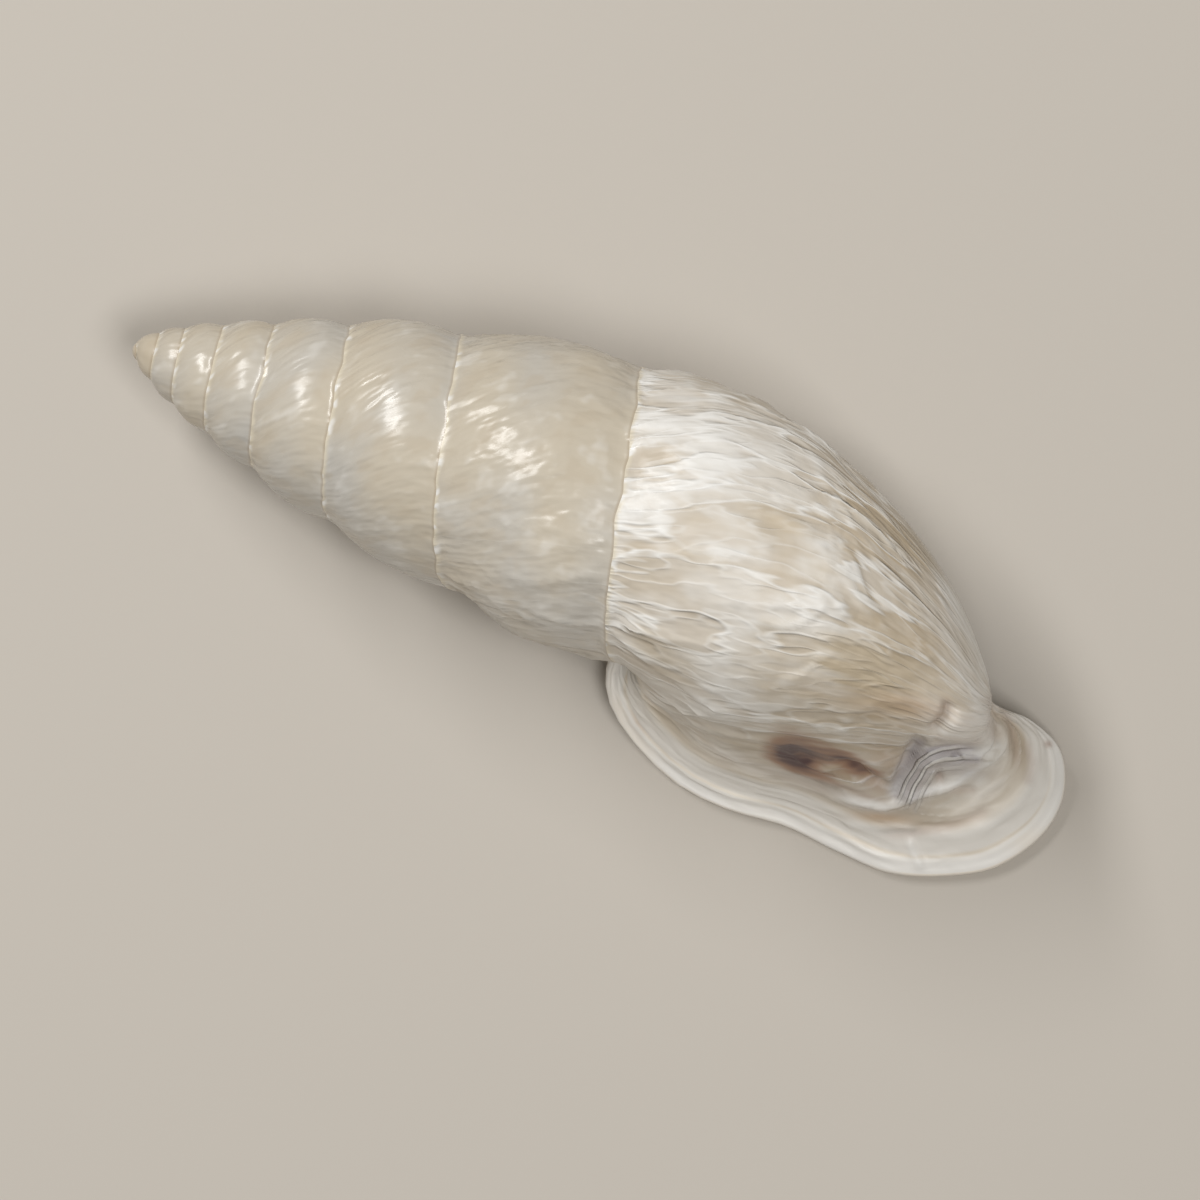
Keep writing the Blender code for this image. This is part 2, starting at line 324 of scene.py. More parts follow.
def waves(along, across, seed):
    """Smooth random waves from -1 to 1, about one to each unit."""
    table = np.random.default_rng(seed).uniform(-1.0, 1.0, (128, 128))
    along, across = along + 0.31 * across, across - 0.17 * along
    i, j = np.floor(along).astype(int), np.floor(across).astype(int)
    f, g = ease(along - i), ease(across - j)
    i, j, k, m = i % 128, j % 128, (i + 1) % 128, (j + 1) % 128
    low = table[i, j] * (1.0 - f) + table[k, j] * f
    high = table[i, m] * (1.0 - f) + table[k, m] * f
    return low * (1.0 - g) + high * g


def net(along, across, seed):
    """Narrow crests that part and meet like a net: 1 on a crest, 0 in the hollows."""
    return (1.0 - np.minimum(2.4 * np.abs(waves(along, across, seed)), 1.0)) ** 2


def growth_relief(row, across):
    """Millimetres that the wall stands out from the smooth form."""
    along, wide = laid(growth_line(row, across)), width(row, across)
    rough = EARLY_SHARE + (1.0 - EARLY_SHARE) * ease((row - ROUGH_FROM) / ROUGH_OVER)
    bent = 0.8 * waves(along / 8.0, wide / 5.0, 1) + 0.3 * waves(along / 3.0, wide / 2.5, 11)
    broken = 0.65 + 0.5 * waves(along / 4.0, wide / 6.0, 3)
    wrinkles = WRINKLE * net(along / 2.5 + bent, wide / 11.0, 2) * broken
    lines = FINE_LINE * net(along / 1.3 + 1.6 * bent, wide / 6.5, 4) * (1.3 - broken)
    dents = DENT * waves(along / 3.8, wide / 4.6, 5) + FINE_DENT * waves(along / 1.9, wide / 2.7, 6)
    below_seam = np.exp(-np.minimum(wide, 30.0) / 1.1) * ease(wide / 0.3)
    gathers = GATHER * waves(along / 0.8, wide / 3.0, 12) * below_seam * ease((row - 3.5) / 2.0)
    early_dents = EARLY_DENT * waves(along / 2.2, wide / 2.4, 13) * ease((row - 3.0) / 2.0)
    return rough * (wrinkles + lines + dents - SUNK) + gathers + (1.0 - rough) * early_dents


def clear_of_sutures(row, across):
    """0 on the glued edges of the wall, 1 away from them."""
    upper = ease(across / 0.05)
    lower = np.maximum(ease((1.0 - across) / 0.05), ease((row - TURNS + 1.0) / 0.04))
    foot = ease((2.0 - across) / 0.15)
    return upper * lower * foot


sample = growth_relief(*np.meshgrid(np.linspace(7.7, 8.4, 200), np.linspace(0.1, 0.9, 200)))
print("relief of the last whorl from", sample.min().round(2), "to", sample.max().round(2), "mm")

# %% [markdown]
# ## The thread of the suture
#
# Where a whorl is glued to the one before, its edge is a thin raised thread, uneven like a
# seam of wax. It could be a bevelled curve laid on the wall, but that would be a second body.
# Here both edges that meet at the suture are lifted by the same amount, so they stay glued.

# %% Suture thread
THREAD, BEADS = 0.10, 0.12  # millimetres that it stands up, and that the beads add or take
THREAD_REACH_BELOW, THREAD_REACH_ABOVE, SWAY_REACH = 0.36, 0.2, 1.1
SWAY, FINE_SWAY = 0.16, 0.08


def bell(away, reach):
    """1 on a line and less away from it."""
    return np.exp(-((away / reach) ** 2))


def along_suture(turn, length, seed):
    """Smooth random waves of this length in millimetres."""
    return waves(laid(turn) / length, 0.0 * turn, seed)


def thread_height(turn):
    """Millimetres that the suture's thread stands up."""
    size = ease((turn - 1.6) / 4.0) * (1.0 - ease((turn - 8.52) / 0.09))
    beads = 0.6 * along_suture(turn, 1.5, 7) + 0.4 * along_suture(turn, 0.7, 8)
    return size * (THREAD + BEADS * beads)


def thread(row, across):
    """How the two edges at a suture are moved: out from the axis, and to and fro along it."""
    def lift(turn, away, reach, own):
        down, out = suture(turn)
        off_axis = place(down, out + 1.0, turn) - place(down, out, turn)
        along_axis = place(down + 1.0, out, turn) - place(down, out, turn)
        sway = SWAY * along_suture(turn, 2.3, 14) + FINE_SWAY * along_suture(turn, 0.9, 15)
        sway = sway * ease((turn - 3.0) / 3.0) * (1.0 - ease((turn - 8.3) / 0.25))
        return (off_axis * (own * thread_height(turn) * bell(away, reach))[..., None]
                + along_axis * (own * sway * bell(away, SWAY_REACH))[..., None])

    chord = span(row)
    beside_lower = np.abs(1.0 - across) * chord
    upper, lower = 1.0 - ease((across - 0.4) / 0.5), ease((across - 0.1) / 0.5)
    return (lift(row, across * chord, THREAD_REACH_BELOW, upper)
            + lift(row + 1.0, beside_lower, THREAD_REACH_ABOVE, lower))


print("the thread stands up to", thread_height(np.linspace(6.0, 8.4, 400)).max().round(2), "mm")

# %% [markdown]
# ## Folds behind the lip
#
# At the end of the gutter the wall was folded like soft clay: a knob with a crease beside it, a
# deep furrow with thin ridges along it and one pale ridge in front. Sculpting brushes need a
# hand, so each fold is a line over the table with its height and tint, and the wall rises or
# sinks beside that line by a bell curve, but never through its own thickness.

# %% Folds
MIDDLE = np.array([38.166, -4.261, 0.0])  # of the outline, in the millimetres used here
WALL, LIP_THICKNESS, KEPT_WALL = 0.75, 1.5, 0.25
CORNER_THICKNESS = 0.35  # of the lip's thickness, at both ends of the rim
KNOB, KNOB_HEIGHT, KNOB_REACH = (67.9, -7.2), 1.05, (3.2, 2.2)
BUMP, BUMP_HEIGHT, BUMP_REACH = (63.2, -12.2), 0.35, (1.3, 0.9)
FOOT, FOOT_PULL, FOOT_REACH = (68.1, -3.5), np.array([0.75, -1.1, 0.0]), (3.2, 3.2)
LATE_FROM, LATE_OVER = 8.2, 0.1  # turns: the folds are only on the wall laid down after this
RIM_CALM, BASE_CALM = 0.75, 0.8  # shares of the growth relief that are lost there
EARLY_BULGE = 0.035  # of a whorl's width, on the first whorls
SPINE = [(64.2, -14.7), (64.4, -13.9), (64.5, -13.1), (64.7, -12.0), (64.9, -10.9),
         (65.5, -9.9), (66.5, -9.2), (67.9, -8.6), (70.1, -7.9)]  # fine ridges run along it
FOLD_LINES = [
    # height and half width in millimetres, tint and its strength, then the line
    # the deep furrow
    (-1.00, 0.55, "lilac", 0.90, [(64.2, -14.7), (64.5, -13.6), (64.7, -11.9), (64.8, -10.7),
          (64.9, -9.7), (64.9, -8.9)]),
    # ridges beside it
    (0.40, 0.32, "pale", 0.55, [(63.8, -14.5), (64.5, -13.4), (65.2, -11.7),
          (66.0, -10.7), (67.3, -9.9)]),
    (0.36, 0.30, "pale", 0.50, [(64.4, -14.6), (65.3, -13.0), (66.3, -11.7), (66.9, -11.0)]),
    (0.25, 0.25, "pale", 0.40, [(65.2, -14.2), (66.0, -12.7), (67.0, -11.7)]),
    # dark lines that run to the right
    (-0.55, 0.32, "lilac", 1.00, [(64.5, -12.2), (65.1, -11.0), (65.8, -10.1),
          (67.6, -9.2), (69.7, -8.5)]),
    (-0.40, 0.28, "lilac", 1.00, [(67.2, -9.6), (68.6, -9.7), (70.0, -9.4)]),
    (0.25, 0.28, "pale", 0.60, [(67.8, -9.6), (69.2, -9.2), (70.9, -8.7)]),
    # a short brown nick
    (-0.35, 0.25, "umber_and_shade", 0.50, [(66.9, -11.1), (67.1, -11.5), (67.5, -12.1)]),
    # the pale ridge in front
    (0.60, 0.36, "pale", 0.90, [(59.1, -15.7), (60.9, -15.5), (62.3, -15.4), (64.0, -15.1),
          (64.9, -14.5), (66.3, -13.2), (67.5, -12.5), (68.6, -11.6), (69.9, -11.3)]),
    (-0.30, 0.28, "umber_and_shade", 0.35, [(68.2, -12.5), (69.2, -12.1), (70.4, -11.7)]),
    # the gutter's dark end, painted shade
    (-0.75, 0.45, "umber_and_shade", 0.35, [(58.8, -13.5), (61.0, -13.2), (62.3, -13.7),
          (63.2, -13.8), (64.1, -13.5)]),
    # the crease beside the knob, darkened with painted shade
    (-0.70, 0.38, "umber_and_shade", 0.35, [(65.6, -5.5), (65.8, -6.5), (65.6, -7.5), (65.2, -8.7)]),
    (-0.35, 0.40, "umber_and_shade", 0.25, [(65.5, -9.0), (66.4, -9.1), (68.3, -8.7), (69.9, -7.9)]),
    # painted shadow at the wall's foot on the lip
    (-0.50, 0.50, "umber_and_shade", 0.30, [(68.7, -4.3), (69.5, -6.0), (70.3, -8.2)]),
    # creases and a step on the lip, darkened with painted shade
    (-0.30, 0.40, "umber_and_shade", 0.35, [(63.8, -17.4), (66.4, -16.4), (68.9, -15.1),
          (70.9, -13.6), (71.8, -12.4)]),
    (0.18, 0.35, "pale", 0.35, [(61.1, -17.4), (64.2, -16.8), (67.4, -15.6)]),
    (0.25, 0.30, "pale", 0.50, [(66.3, -16.8), (67.0, -17.5), (67.7, -18.2), (68.1, -18.9)]),
    # arcs on the lip round the wall's foot, darkened with painted shade
    (-0.22, 0.40, "umber_and_shade", 0.35, [(69.6, -4.9), (70.7, -5.9), (71.9, -7.6), (72.9, -9.7)]),
    (-0.18, 0.40, "umber_and_shade", 0.30, [(72.3, -6.7), (73.6, -8.6), (73.8, -10.5)]),
]
WALL_CRESTS = [
    # height and half width in millimetres, then the line
    (0.22, 0.35, [(40.3, 1.0), (43.9, 2.0), (47.1, 3.2), (49.4, 3.4), (51.5, 2.9), (56.0, 3.7)]),
    (0.30, 0.45, [(40.9, -8.0), (42.5, -8.2), (45.5, -7.9), (49.0, -7.6)]),
    (0.12, 0.25, [(42.5, -5.8), (50.4, -3.6), (56.2, -1.8), (60.7, -1.0)]),
    (0.10, 0.20, [(52.3, 3.2), (51.8, 1.8), (51.9, 0.5)]),
]


def beside(at, line):
    """Millimetres from each point to the line, seen from above, which part of the line it is
    nearest to, from 0 to 1, and 1 on the line's right or -1 on its left."""
    line = np.array(line)
    best, share, side = np.full(at.shape[:-1], 1e9), np.zeros(at.shape[:-1]), np.ones(at.shape[:-1])
    for k, (a, b) in enumerate(zip(line[:-1], line[1:])):
        way = b - a
        t = np.clip(((at[..., :2] - a) @ way) / (way @ way), 0.0, 1.0)
        off = at[..., :2] - a - t[..., None] * way
        away = np.linalg.norm(off, axis=-1)
        share = np.where(away < best, (k + t) / (len(line) - 1), share)
        side = np.where(away < best, np.sign(way[1] * off[..., 0] - way[0] * off[..., 1]), side)
        best = np.minimum(best, away)
    return best, share, side


def spot(at, x, y, long, wide, turned=0.0):
    """1 at a place on the wall, and less away from it, by an oval bell."""
    c, s = math.cos(turned), math.sin(turned)
    dx, dy = at[..., 0] - x, at[..., 1] - y
    return np.exp(-(((dx * c + dy * s) / long) ** 2) - ((dy * c - dx * s) / wide) ** 2)


def tapered(share):
    """1 along a line, and 0 at both its ends."""
    return ease(share / 0.2) * ease((1.0 - share) / 0.2)


def folds(at, row, facing_up):
    """Millimetres that the folds rise or sink."""
    rise = np.zeros(at.shape[:-1])
    for height, reach, line in WALL_CRESTS:
        away, share, _ = beside(at, line)
        rise += height * bell(away, reach) * tapered(share)
    late = ease((row - LATE_FROM) / LATE_OVER)
    for height, reach, _, _, line in FOLD_LINES:
        away, share, _ = beside(at, line)
        rise += late * height * bell(away, reach) * tapered(share)
    rise += late * KNOB_HEIGHT * spot(at, *KNOB, *KNOB_REACH)
    rise += late * BUMP_HEIGHT * spot(at, *BUMP, *BUMP_REACH)
    return rise * facing_up


def rim_finish(row, across, away):
    """A groove and a pale line that follow the rim, and the growth lines of the lip."""
    ends = ease(across / 0.3) * ease((1.97 - across) / 0.2)
    on_lip = ease((row - FLARE_START - 0.12) / 0.06) * ends
    rounds = width(row, across)
    bent = 0.5 * waves(away / 3.0, rounds / 4.0, 16)
    lines = 0.17 * net(away / 1.5 + bent, rounds / 12.0, 9) - 0.08
    lines += 0.09 * net(away / 0.7 + bent, rounds / 8.0, 10)
    pale_line, groove = 0.09 * bell(away - 1.0, 0.25), 0.06 * bell(away - 1.6, 0.35)
    return on_lip * (pale_line - groove + lines * ease(away / 1.0))


def pulled(at):
    """The wall's end beside the lip, drawn a little down and outwards."""
    return at + FOOT_PULL * spot(at, *FOOT, *FOOT_REACH)[..., None]


def wall_thickness(row, across):
    """Millimetres from the smooth outer wall to its inner side."""
    lip = ease((row - FLARE_START) / FLARE_TURNS)
    ends = ease(across / 0.35) * ease((2.0 - across) / 0.25)
    edge = LIP_THICKNESS * (CORNER_THICKNESS + (1.0 - CORNER_THICKNESS) * ends)
    return WALL + (edge - WALL) * lip


def growth_left(row, across, away):
    """Millimetres of growth relief, calmer near the rim and on the base."""
    near_rim = 1.0 - RIM_CALM * ease((6.0 - away) / 4.0)
    on_base = 1.0 - BASE_CALM * ease((across - 0.95) / 0.6)
    return growth_relief(row, across) * near_rim * on_base


def early_bulge(row, across):
    """Millimetres that the first whorls stand rounder than the later ones."""
    between_sutures = np.sin(math.pi * np.minimum(across, 1.0))
    return EARLY_BULGE * span(row) * between_sutures * (1.0 - ease((row - 5.6) / 1.2))


def surface(row, across):
    """The whole outer wall with its relief, which never sinks through the wall."""
    row, across = np.broadcast_arrays(np.asarray(row, float), np.asarray(across, float))
    at, out = skin(row, across), outward(row, across)
    away = to_rim(row, across)
    facing_up = ease((out[..., 2] - 0.1) / 0.3)
    rise = growth_left(row, across, away) + early_bulge(row, across)
    rise = rise + folds(at, row, facing_up) + rim_finish(row, across, away)
    rise = np.maximum(rise, KEPT_WALL - wall_thickness(row, across))
    at = at + out * (rise * clear_of_sutures(row, across))[..., None] + thread(row, across)
    at[..., 2] = np.maximum(at[..., 2], 0.0)
    return at


print(len(WALL_CRESTS), "crests, a knob and", len(FOLD_LINES), "lines of the fold")

# %% [markdown]
# ## The thick lip and the hollow
#
# The rim is about 1.5 mm thick and rounded, and behind it the tube runs back into the whorl.
# Solidify would thicken the wall, but it can't close the tube against the whorl before it. So
# rings are drawn over the rim and inwards: each runs along the inner side of the wall, and back
# over the pillar and the whorl before.

# %% Rings
STEPS, ACROSS, BASE_ACROSS = 232, 22, 108  # rows to a turn, columns to a whorl and to the base
EDGE_STEPS, LIP_STEPS, HOLLOW_STEPS = 8, 40, 36
CROWDING = 0.6  # how much closer together the columns lie beside the sutures
RING_LAG = 0.05  # turns that the rings have moved back where they leave the lip


def inner_face(row, across):
    """The inner side of the wall and of the lip, flat where it would reach under the table."""
    at = skin(row, across) - outward(row, across) * wall_thickness(row, across)[..., None]
    at[..., 2] = np.maximum(at[..., 2], 0.0)
    return at


def inside(across):
    """The stretch of the wall that the hollow keeps clear of the suture and the pillar's foot."""
    return 0.3 + 0.8 * across


def off_ends(across):
    """0 at both ends of the rim, 1 between them."""
    return ease(across / 0.15) * ease((2.0 - across) / 0.15)


def lip_face(part, across, under, throat):
    """A line on the lip's inner face, from its edge (part 0) to the throat (part 1)."""
    clear = float(ease(part))
    ends = 1.0 - (1.0 - off_ends(across)) * (1.0 - ease(clear / 0.3))
    row = np.full_like(across, RIM_ROW - FLARE_TURNS * part)
    kept = across + (inside(across) - across) * clear
    line = skin(row, kept)
    line = line + (inner_face(row, kept) - line) * ends[:, None]
    straight = under + (throat - under) * part
    return line + (straight - line) * (1.0 - ease(across / 0.4))[:, None]


def columns_across():
    """Columns of points across a whorl, closer together beside the sutures."""
    even = np.linspace(0.0, 1.0, ACROSS + 1)
    upper = even - CROWDING * np.sin(2.0 * math.pi * even) / (2.0 * math.pi)
    return upper, np.concatenate([upper, np.linspace(1.0, 2.0, BASE_ACROSS + 1)[1:]])


def hollow_rings():
    """The rings, and for each how far it lies inwards, in turns."""
    across = columns_across()[1]
    back = np.linspace(2.0, 1.0, BASE_ACROSS + 1)[1:-1]
    row = np.full_like(across, RIM_ROW)
    rim = surface(row, across)
    under = rim + (inner_face(row, across) - skin(row, across)) * off_ends(across)[:, None]
    under[:, 2] = np.maximum(under[:, 2], 0.0)
    outwards = skin(row, across) - skin(row - 1e-3, across)
    outwards /= np.maximum(np.linalg.norm(outwards, axis=-1, keepdims=True), 1e-9)
    proud = outwards * np.linalg.norm(under - rim, axis=-1, keepdims=True) / 4.0
    throat = inner_face(np.full_like(across, TURNS), inside(across))
    lag = RING_LAG / (EDGE_STEPS + LIP_STEPS)
    rings, depths = [], []

    def add(front, clear, before, depth):
        kept = back + clear * (0.15 - 0.25 * (back - 1.0))
        rings.append(np.vstack([front, regular(np.full_like(back, TURNS - 1.0 - before), kept)]))
        depths.append(depth)

    for step in range(EDGE_STEPS + 1):
        turned = math.pi * step / EDGE_STEPS
        half = (rim - under) / 2.0
        front = (rim + under) / 2.0 + half * math.cos(turned) + proud * math.sin(turned)
        add(front, 0.0, lag * step, 0.0)
    for step in range(1, LIP_STEPS + 1):
        part = step / LIP_STEPS
        front = lip_face(part, across, under, throat)
        add(front, float(ease(part)), lag * (EDGE_STEPS + step), FLARE_TURNS * part)
    for step in range(1, HOLLOW_STEPS + 1):
        deep = HOLLOW_TURNS * step / HOLLOW_STEPS
        front = inner_face(np.full_like(across, TURNS - deep), inside(across))
        add(front, 1.0, lag * (EDGE_STEPS + LIP_STEPS) + deep, FLARE_TURNS + deep)
    middle = rings[-1].mean(axis=0)
    rings += [(rings[-1] + middle) / 2.0, np.broadcast_to(middle, rings[-1].shape)]
    depths += [depths[-1] + 0.02, depths[-1] + 0.04]
    rings = np.array(rings)
    return np.concatenate([rings, rings[:, :1]], axis=1), np.array(depths)


rings, depths = hollow_rings()
print(len(rings), "rings of", rings.shape[1] - 1, "points")

# %% [markdown]
# ## Sheets rolled up from grids
#
# Each sheet starts as a flat Grid primitive, and its points are moved to their places, row by
# row: one row is one growth line. A Screw would make the faces too, but not these rows. The
# sheet's two rulers go into UV maps, which later carry the patterns of the material, and the
# distance to the rim and the depth in the mouth go into attributes of the points.

# %% Roll up
MM_TO_CM = 10.0
FAR_SEAM = 10.0  # millimetres from a suture that count as far away


def set_map(mesh, name, first, second):
    """A UV map from two numbers for each point."""
    corner = np.empty(len(mesh.loops), np.int32)
    mesh.loops.foreach_get("vertex_index", corner)
    both = np.stack([first.ravel(), second.ravel()], axis=1)[corner]
    mesh.uv_layers.new(name=name).uv.foreach_set("vector", both.astype(np.float32).ravel())


def set_points(mesh, name, values):
    """A number for each point."""
    attribute = mesh.attributes.new(name, "FLOAT", "POINT")
    attribute.data.foreach_set("value", values.astype(np.float32).ravel())


def roll_up(title, points, turn, across, away, depth, relief):
    """A grid moved to the points, with its rulers."""
    rows, columns = points.shape[:2]
    bpy.ops.mesh.primitive_grid_add(
        x_subdivisions=columns - 1, y_subdivisions=rows - 1, calc_uvs=False)
    sheet = bpy.context.object
    sheet.name = title
    sheet.data.vertices.foreach_set("co", pulled(points).astype(np.float32).ravel())
    lengths, widths = laid(growth_line(turn, across)), width(turn, across)
    set_map(sheet.data, "laid", lengths / MM_TO_CM, widths / MM_TO_CM)
    set_map(sheet.data, "age", turn / 10.0, across / 2.0)
    below, above = (np.clip(part * span(turn), 0.0, FAR_SEAM) for part in (across, 1.0 - across))
    above = np.where(turn > TURNS - 1.0, FAR_SEAM, above)
    set_map(sheet.data, "seams", below / MM_TO_CM, above / MM_TO_CM)
    set_points(sheet.data, "to_rim", away)
    set_points(sheet.data, "depth", depth)
    set_points(sheet.data, "relief", relief)
    print(title, "has", len(sheet.data.polygons), "faces")
    return sheet


upper, full = columns_across()
early = np.arange(round((TURNS - 1.0) * STEPS) + 1) / STEPS
late = early[-1] + np.arange(STEPS + 1) / STEPS
last = np.concatenate([late, np.linspace(TURNS, RIM_ROW, LIP_STEPS + 1)[1:]])
sheets = []
for title, rows, columns in (("spire", early, upper), ("last whorl", last, full)):
    turn, across = np.meshgrid(rows, columns, indexing="ij")
    away = to_rim(turn, across)
    relief = growth_relief(turn, across) * ease((away - 3.0) / 3.0)
    relief += rim_finish(turn, across, away)
    sheets.append(roll_up(title, surface(turn, across), turn, across, away, 0.0 * away, relief))
turn = np.maximum(TURNS - depths, 6.0)[:, None] + np.zeros(rings.shape[1])
across = np.linspace(0.0, 2.0, rings.shape[1])[None, :] + np.zeros((len(rings), 1))
deep = np.broadcast_to(depths[:, None], across.shape)
in_mouth = np.clip((np.arange(len(rings))[:, None] - 2.0) / (EDGE_STEPS - 2.0), 0.0, 1.0) + deep
flat = 0.0 * across
sheets.append(roll_up("mouth", rings, turn, across, flat, in_mouth, flat))

# %% [markdown]
# ## Welding
#
# The sheets share their edge points: along the suture, round the rim and behind the mouth.
# Joining them and merging by distance closes the shell. The points that fell together at the
# apex and at the pillar's foot leave faces with no area, which are dissolved, and then all
# normals are turned outwards. A remesh would close the shell as well, but lose the rulers.

# %% Weld
TOUCHING = 5e-5  # millimetres, as the sheets are still laid out in those

bpy.ops.object.select_all(action="DESELECT")
for sheet in sheets:
    sheet.select_set(True)
shell = sheets[1]
bpy.context.view_layer.objects.active = shell
bpy.ops.object.join()
shell.name = shell.data.name = "snail_shell"
bpy.ops.object.mode_set(mode="EDIT")
bpy.ops.mesh.select_all(action="SELECT")
bpy.ops.mesh.remove_doubles(threshold=TOUCHING)
bpy.ops.mesh.dissolve_degenerate(threshold=TOUCHING)
bpy.ops.mesh.select_all(action="SELECT")
bpy.ops.mesh.normals_make_consistent(inside=False)
bpy.ops.object.mode_set(mode="OBJECT")
bpy.ops.object.shade_smooth()

points = np.empty(len(shell.data.vertices) * 3, np.float32)
shell.data.vertices.foreach_get("co", points)
points = (points.reshape(-1, 3) - MIDDLE) * MM
shell.data.vertices.foreach_set("co", points.astype(np.float32).ravel())
shell.data.update()
shell.data.calc_loop_triangles()
side_of = np.empty(len(shell.data.loops), np.int32)
shell.data.loops.foreach_get("edge_index", side_of)
open_edges = int((np.bincount(side_of) != 2).sum())
print(len(shell.data.loop_triangles), "triangles,", open_edges, "edges not shared by two faces")
print("box in mm:", (points.min(axis=0) / MM).round(2), (points.max(axis=0) / MM).round(2))

# %% [markdown]
# ## Where the stains and colours lie
#
# Dark purple-brown stains show behind the gutter, amber ones above the furrow and under the pale
# ridge, and the folds are grey lilac. They could be painted by hand with a brush. Here each is a
# soft oval, or one of the fold's lines, written to the points of the mesh for the material. The
# umber of the lines along the gutter's end, the creases and the wall's foot is painted shade. All
# of them fade where the wall faces down, so that none shows on the underside.

# %% Stains
SPOTS = {
    # place, half length and half width in millimetres, turn in radians, strength
    "tan": [
        (60.0, -5.5, 6.0, 2.4, -0.1, 0.7), (57.0, -5.6, 3.5, 0.9, -0.1, 0.5),
        (55.5, -8.6, 5.5, 2.0, -0.1, 0.6), (44.6, -9.8, 3.0, 1.2, -0.1, 0.6),
        (50.5, -13.8, 7.0, 1.1, -0.1, 0.45), (49.7, 2.5, 2.4, 1.0, -0.1, 0.6),
        (44.2, 1.1, 2.2, 0.9, -0.1, 0.5), (53.9, 0.3, 1.6, 0.9, -0.1, 0.6),
        (61.2, -7.6, 3.0, 0.9, -0.1, 0.6), (43.4, -8.6, 2.0, 0.6, -0.1, 0.4),
        (44.3, -1.6, 3.0, 0.8, -0.1, 0.4), (61.5, 3.6, 3.5, 0.9, -0.1, 0.6),
        (58.7, 5.0, 3.5, 0.7, -0.1, 0.5),
    ],
    "stain": [
        (56.3, -13.4, 1.7, 0.9, 0.0, 1.0), (61.0, -12.8, 2.0, 0.6, -0.15, 0.7),
        (58.2, -12.7, 4.0, 1.4, -0.1, 0.5), (59.5, -14.5, 4.5, 0.4, -0.05, 0.45),
    ],
    "amber": [
        (63.4, -7.2, 2.6, 0.8, 0.1, 0.7), (60.4, -8.2, 4.0, 1.0, 0.0, 0.25),
        (64.3, -15.9, 2.2, 0.5, 0.2, 0.9), (63.0, -11.7, 1.6, 1.1, 0.0, 0.5),
        (67.6, -7.2, 2.0, 1.2, 0.0, 0.2),
    ],
    # two specks on the lip
    "umber_and_shade": [(44.3, -14.6, 0.3, 0.25, 0.0, 0.8), (74.3, -6.8, 0.3, 0.25, 0.0, 0.8)],
    "lilac": [
        (64.6, -11.9, 2.8, 1.3, 0.6, 0.3), (68.2, -10.4, 2.4, 0.8, 0.0, 0.4),
        (59.0, -15.1, 6.0, 0.7, 0.0, 0.4),
    ],
    "pale": [],
}
at = points / MM + MIDDLE
facing = np.empty(len(at) * 3, np.float32)
shell.data.vertex_normals.foreach_get("vector", facing)
facing_up = ease((facing[2::3] + 0.1) / 0.3)
late = ease((at[:, 0] - 41.0) / 2.0) * facing_up  # past the early whorls, and not underneath
tints = {tint: 0.0 * late for tint in SPOTS}
for _, reach, tint, strength, line in FOLD_LINES:
    away, share, _ = beside(at, line)
    tints[tint] = np.maximum(tints[tint], strength * bell(away, 1.1 * reach) * tapered(share))
for tint, spots in SPOTS.items():
    for x, y, long, wide, turned, strength in spots:
        tints[tint] += strength * spot(at, x, y, long, wide, turned)
off_spine, share, side = beside(at, SPINE)
off_spine = off_spine * side
tints["ridged"] = ease(off_spine / 0.3) * bell(off_spine - 1.0, 1.1) * tapered(share)
set_points(shell.data, "off_spine", np.clip(off_spine, -5.0, 5.0))
for name, values in tints.items():
    set_points(shell.data, name, np.clip(values * late, 0.0, 1.0))
    print(name, "covers", int((values * late > 0.5).sum()), "points")

# %% [markdown]
# ## Writing a material as sums
#
# A material is a graph of small nodes. It could be wired node by node, but sums read better: the
# class below wraps one socket, and adding or multiplying two of them adds a Math node.

# %% Wires
class Wire:
    """A number, colour or vector on its way through a material."""

    def __init__(self, paint, socket):
        self.paint, self.socket = paint, socket

    def __add__(self, other):
        return self.paint.math("ADD", self, other)

    def __sub__(self, other):
        return self.paint.math("SUBTRACT", self, other)

    def __rsub__(self, other):
        return self.paint.math("SUBTRACT", other, self)

    def __mul__(self, other):
        return self.paint.math("MULTIPLY", self, other)

    __radd__, __rmul__ = __add__, __mul__


